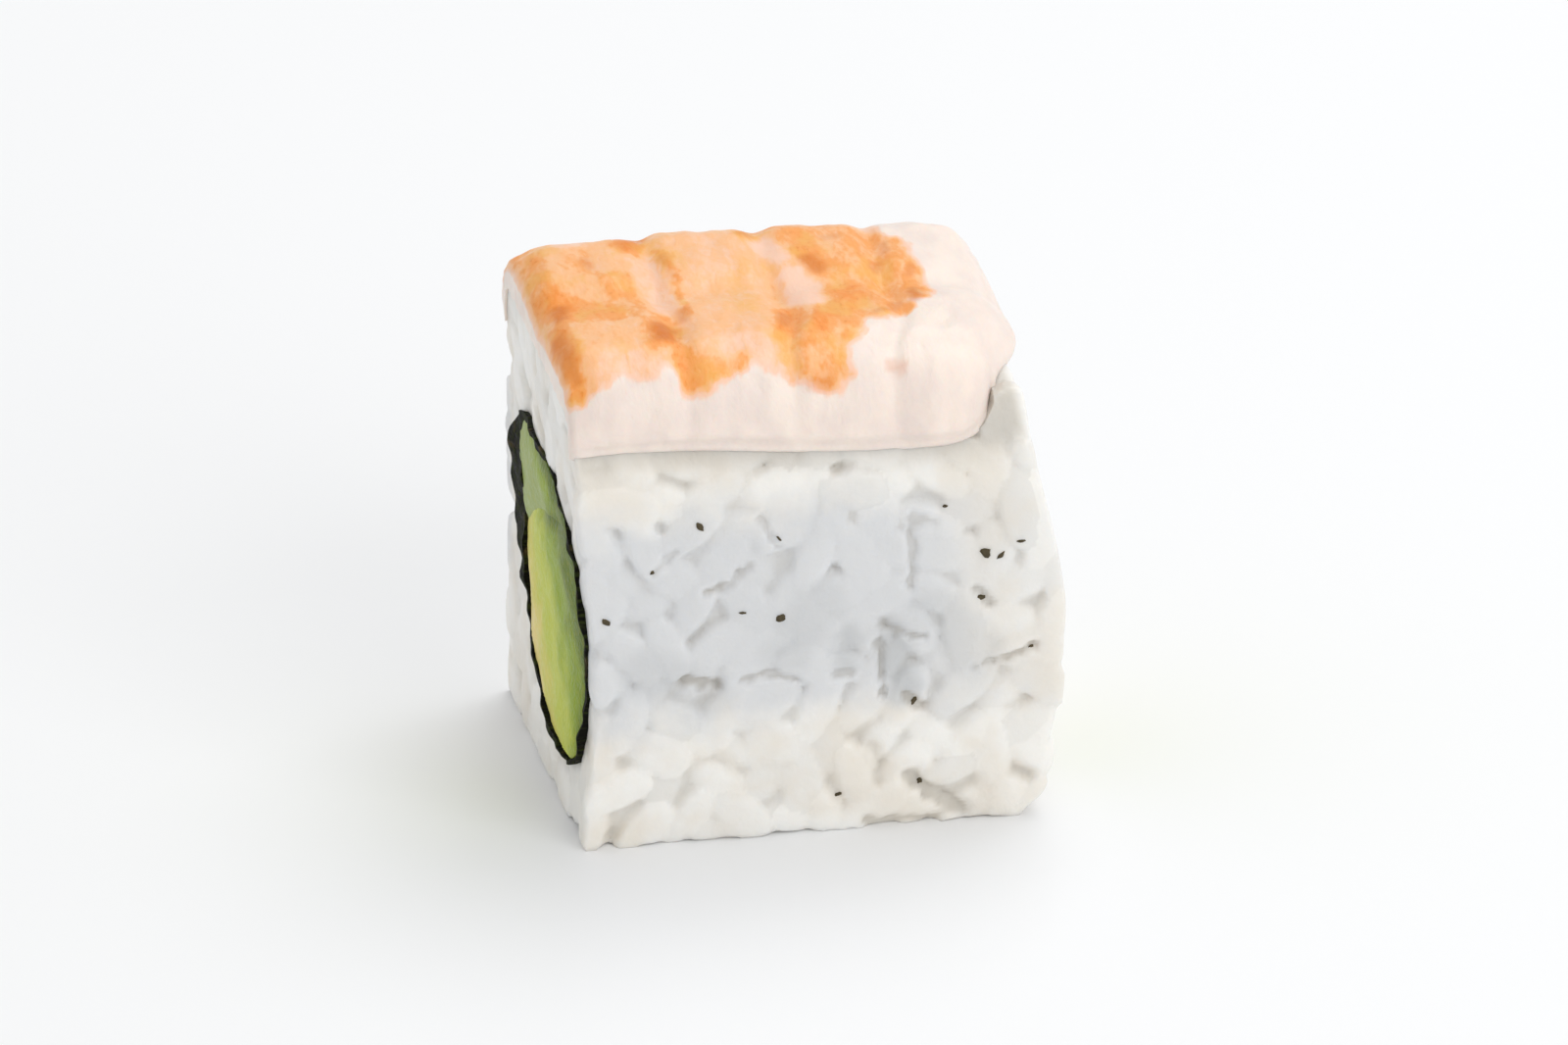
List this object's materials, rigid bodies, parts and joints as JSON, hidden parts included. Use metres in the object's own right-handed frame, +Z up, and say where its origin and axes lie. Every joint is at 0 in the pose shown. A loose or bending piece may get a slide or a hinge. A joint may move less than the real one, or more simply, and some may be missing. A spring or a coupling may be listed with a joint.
{
  "type": "shrimp-topped inside-out sushi roll piece",
  "caption": "Square slice of an inside-out rice roll with nori and avocado inside and a cooked butterflied shrimp draped over the top.",
  "frame": {"origin": "on the resting plane, under the middle of the piece's bounding box", "axes": "+X along the roll from the shown knife cut to the far one, +Y from the shown rice side to the back, +Z up"},
  "size_m": [0.033, 0.026, 0.034],
  "materials": {
    "rice": "moist, translucent cooked short-grain rice",
    "nori": "soft damp seaweed sheet, near black with a green tinge",
    "avocado": "buttery cut flesh, green at the outside and yellow towards the stone",
    "shrimp": "moist cooked flesh, pinkish white with orange bands"
  },
  "bodies": {
    "root": {"rice": "rice", "nori": "nori", "avocado_thick_slice": "avocado", "avocado_thin_slice": "avocado", "shrimp": "shrimp"}
  },
  "joints": []
}
